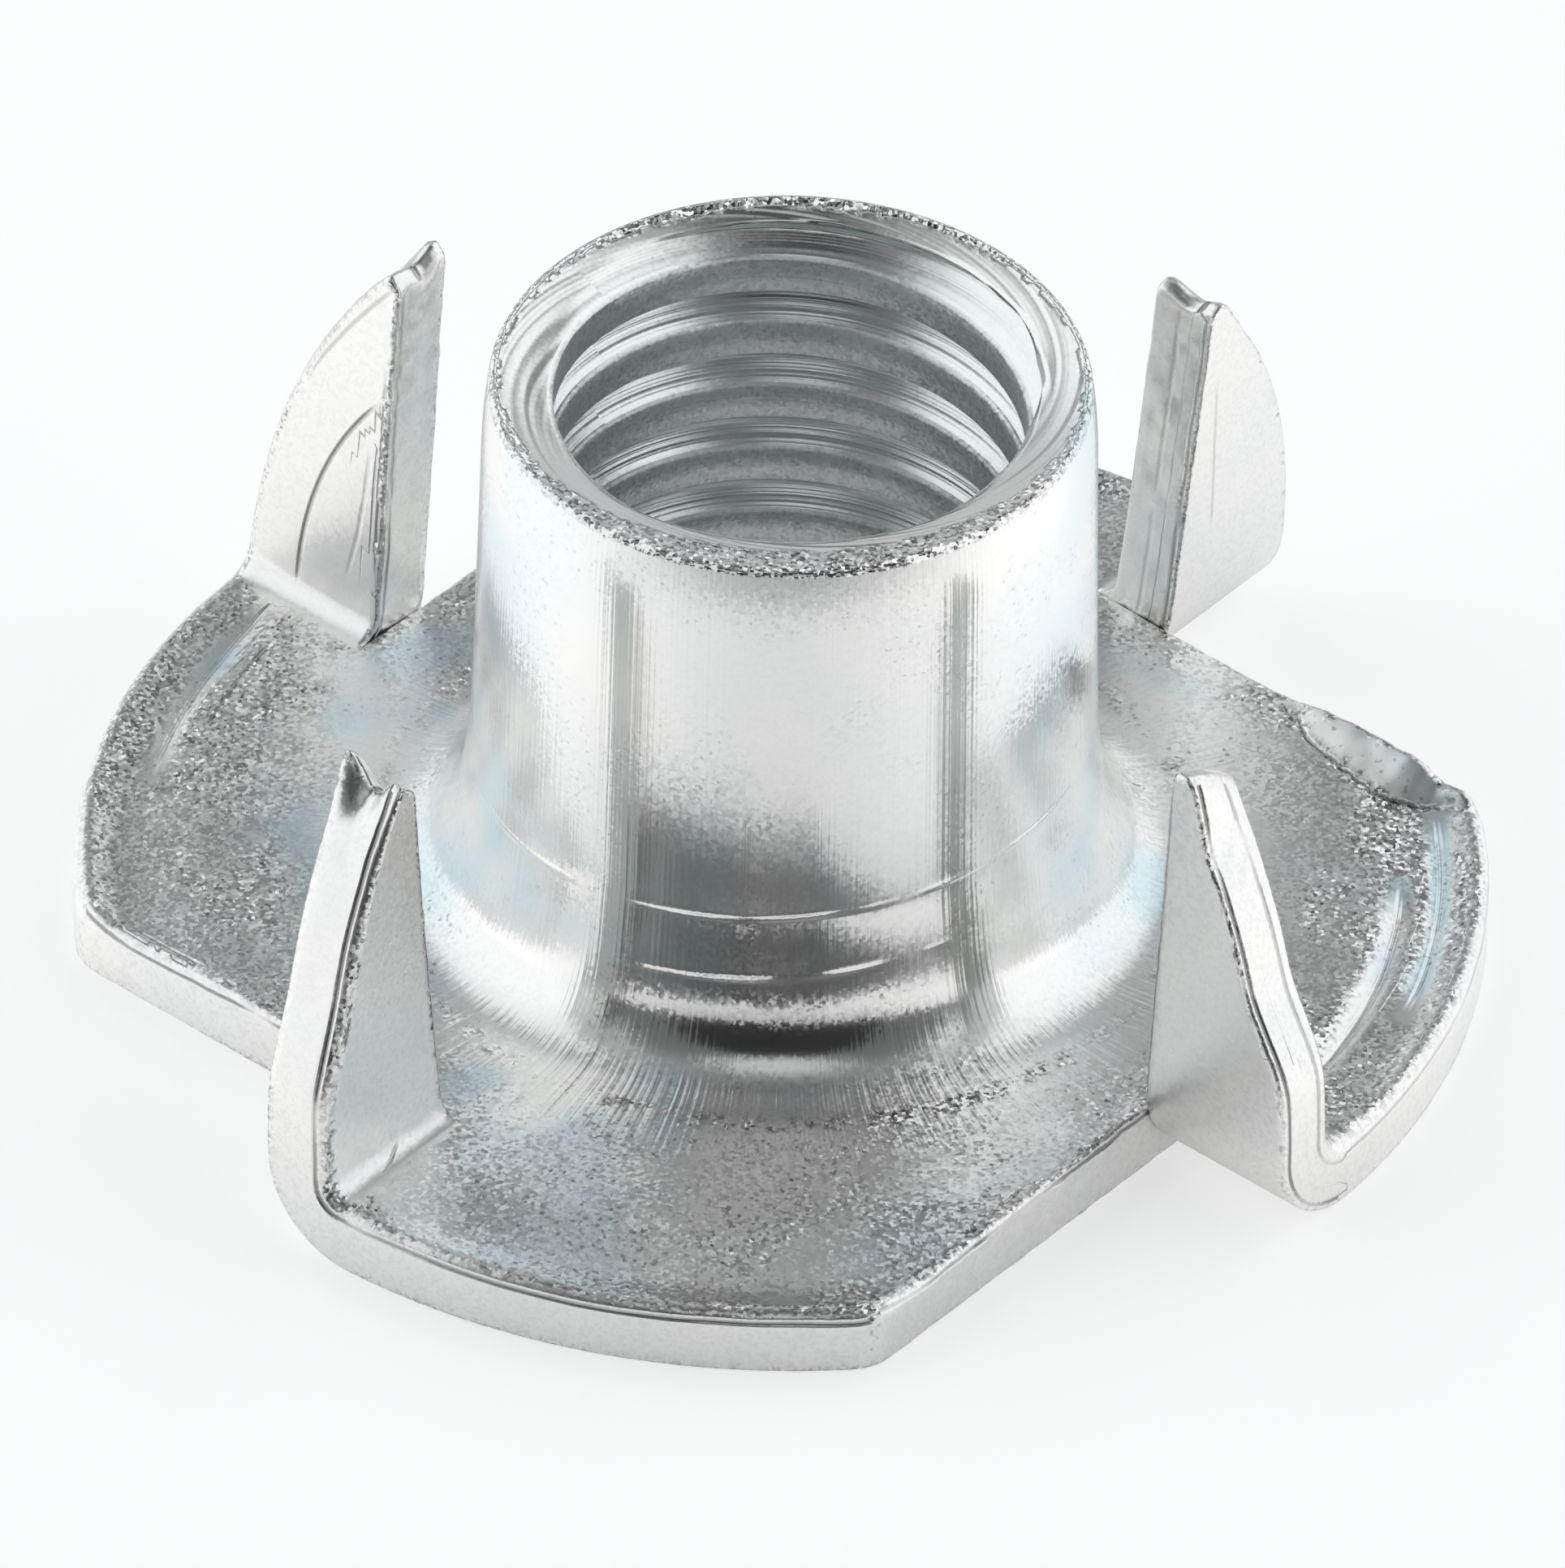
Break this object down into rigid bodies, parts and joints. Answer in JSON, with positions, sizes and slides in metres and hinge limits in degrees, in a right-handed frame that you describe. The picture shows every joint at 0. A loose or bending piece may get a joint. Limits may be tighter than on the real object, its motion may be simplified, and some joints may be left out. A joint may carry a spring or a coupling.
{
  "type": "tee nut",
  "caption": "Stamped steel tee nut: round flange with rim prongs folded up to bite into wood and a drawn, internally threaded barrel.",
  "frame": {"origin": "centre of the flange's flat underside, on the thread's axis", "axes": "+Z along the thread from the flange towards the barrel's mouth; +X through the middle of one prong's fold"},
  "size_m": [0.022, 0.022, 0.0106],
  "materials": {
    "zinc_plate": "bright zinc plate, slightly rough"
  },
  "bodies": {
    "root": {"tee_nut": "zinc_plate"}
  },
  "joints": []
}
